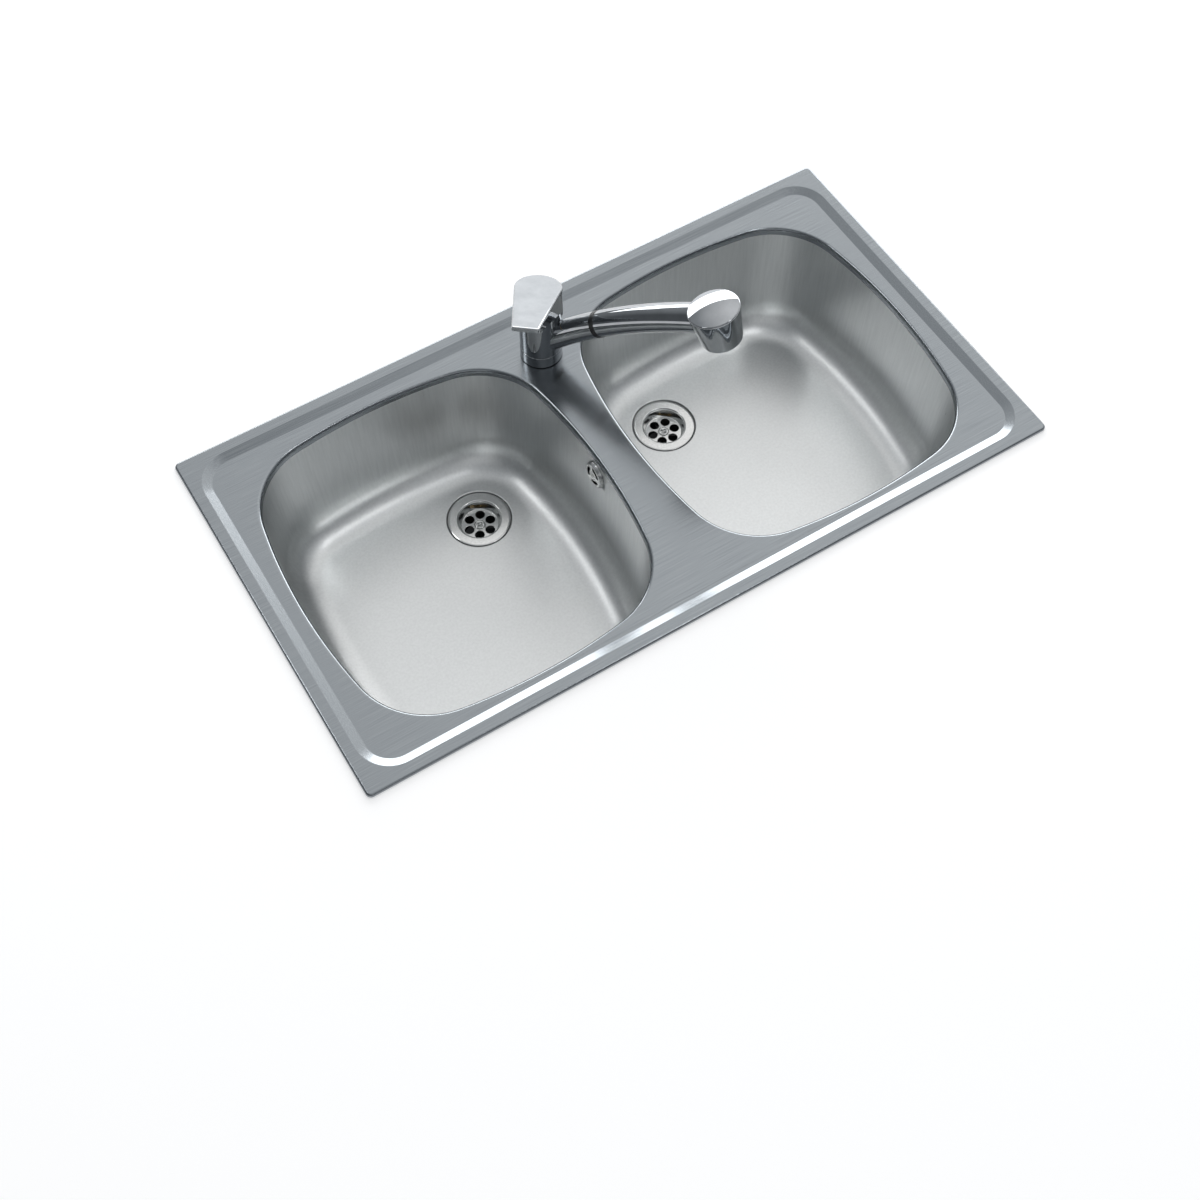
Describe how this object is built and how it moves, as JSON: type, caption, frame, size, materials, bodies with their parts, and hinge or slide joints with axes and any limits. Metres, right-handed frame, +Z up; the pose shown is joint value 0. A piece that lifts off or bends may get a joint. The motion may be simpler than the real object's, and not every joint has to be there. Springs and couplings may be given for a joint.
{
  "type": "double bowl kitchen sink",
  "caption": "Lay-on pressed steel kitchen sink with round-cornered bowls side by side, strainer wastes, an overflow, rim clips and a single-lever mixer tap with a pull-out spray head.",
  "frame": {"origin": "centre of the deck's outline, in the plane of the worktop's top face", "axes": "+X along the sink to the right bowl, +Y to the side with the tap, +Z up"},
  "size_m": [0.8, 0.435, 0.3837],
  "materials": {
    "sink_steel": "satin pressed",
    "polished_steel": "polished",
    "chrome": "bright chrome plate",
    "brass": "turned",
    "zinc_steel": "zinc plated",
    "waste_plastic": "moulded",
    "black_plastic": "moulded",
    "cartridge_plastic": "moulded",
    "plug_plastic": "moulded",
    "seal_rubber": "matt",
    "seal_foam": "foamed",
    "pad_bitumen": "matt"
  },
  "bodies": {
    "sink": {"sink_deck": "sink_steel", "rim_seal": "seal_foam", "left_bowl": "sink_steel", "left_sound_pad": "pad_bitumen", "left_waste_strainer": "polished_steel", "left_waste_screw": "polished_steel", "left_waste_upper_seal": "seal_rubber", "left_waste_lower_seal": "seal_rubber", "left_waste_cup": "waste_plastic", "left_waste_insert": "brass", "right_bowl": "sink_steel", "right_sound_pad": "pad_bitumen", "right_waste_strainer": "polished_steel", "right_waste_screw": "polished_steel", "right_waste_upper_seal": "seal_rubber", "right_waste_lower_seal": "seal_rubber", "right_waste_cup": "waste_plastic", "right_waste_insert": "brass", "overflow_rose": "polished_steel", "overflow_screw": "polished_steel", "overflow_seal": "seal_rubber", "overflow_elbow": "waste_plastic", "clip_brackets": "zinc_steel", "clip_claws": "zinc_steel", "clip_screws": "zinc_steel", "tap_seal": "seal_rubber", "tap_base_ring": "chrome", "tap_core": "brass", "tap_slide_rings": "cartridge_plastic", "tap_shank": "brass", "tap_rubber_washer": "seal_rubber", "tap_steel_washer": "zinc_steel", "tap_back_nut": "brass", "tap_dome": "chrome", "cartridge": "cartridge_plastic", "cartridge_nut": "brass"},
    "spout": {"swivel_spout": "chrome", "spray_dock_ring": "black_plastic"},
    "spray": {"spray_head": "chrome", "spray_face": "black_plastic"},
    "temperature_turn": {"cartridge_driver": "cartridge_plastic", "lever_pin": "polished_steel"},
    "lever": {"mixer_lever": "chrome", "lever_stem": "brass", "lever_screw": "zinc_steel", "lever_plug": "plug_plastic"}
  },
  "joints": [
    {"name": "spout_swivel", "type": "hinge", "parent": "sink", "child": "spout", "pos_m": [0, 0.1475, 0.02], "axis": [0, 0, 1], "range_deg": [-95, 25]},
    {"name": "spray_pull_out", "type": "slide", "parent": "spout", "child": "spray", "axis": [0.4557, -0.6507, 0.6074], "range_m": [0, 0.06]},
    {"name": "temperature_turn", "type": "hinge", "parent": "sink", "child": "temperature_turn", "pos_m": [0, 0.1475, 0.066], "axis": [0, 0, 1], "range_deg": [-11.5, 88.5]},
    {"name": "lever_lift", "type": "hinge", "parent": "temperature_turn", "child": "lever", "pos_m": [0, 0.1475, 0.066], "axis": [-0.7826, 0.6225, 0], "range_deg": [0, 22]}
  ]
}
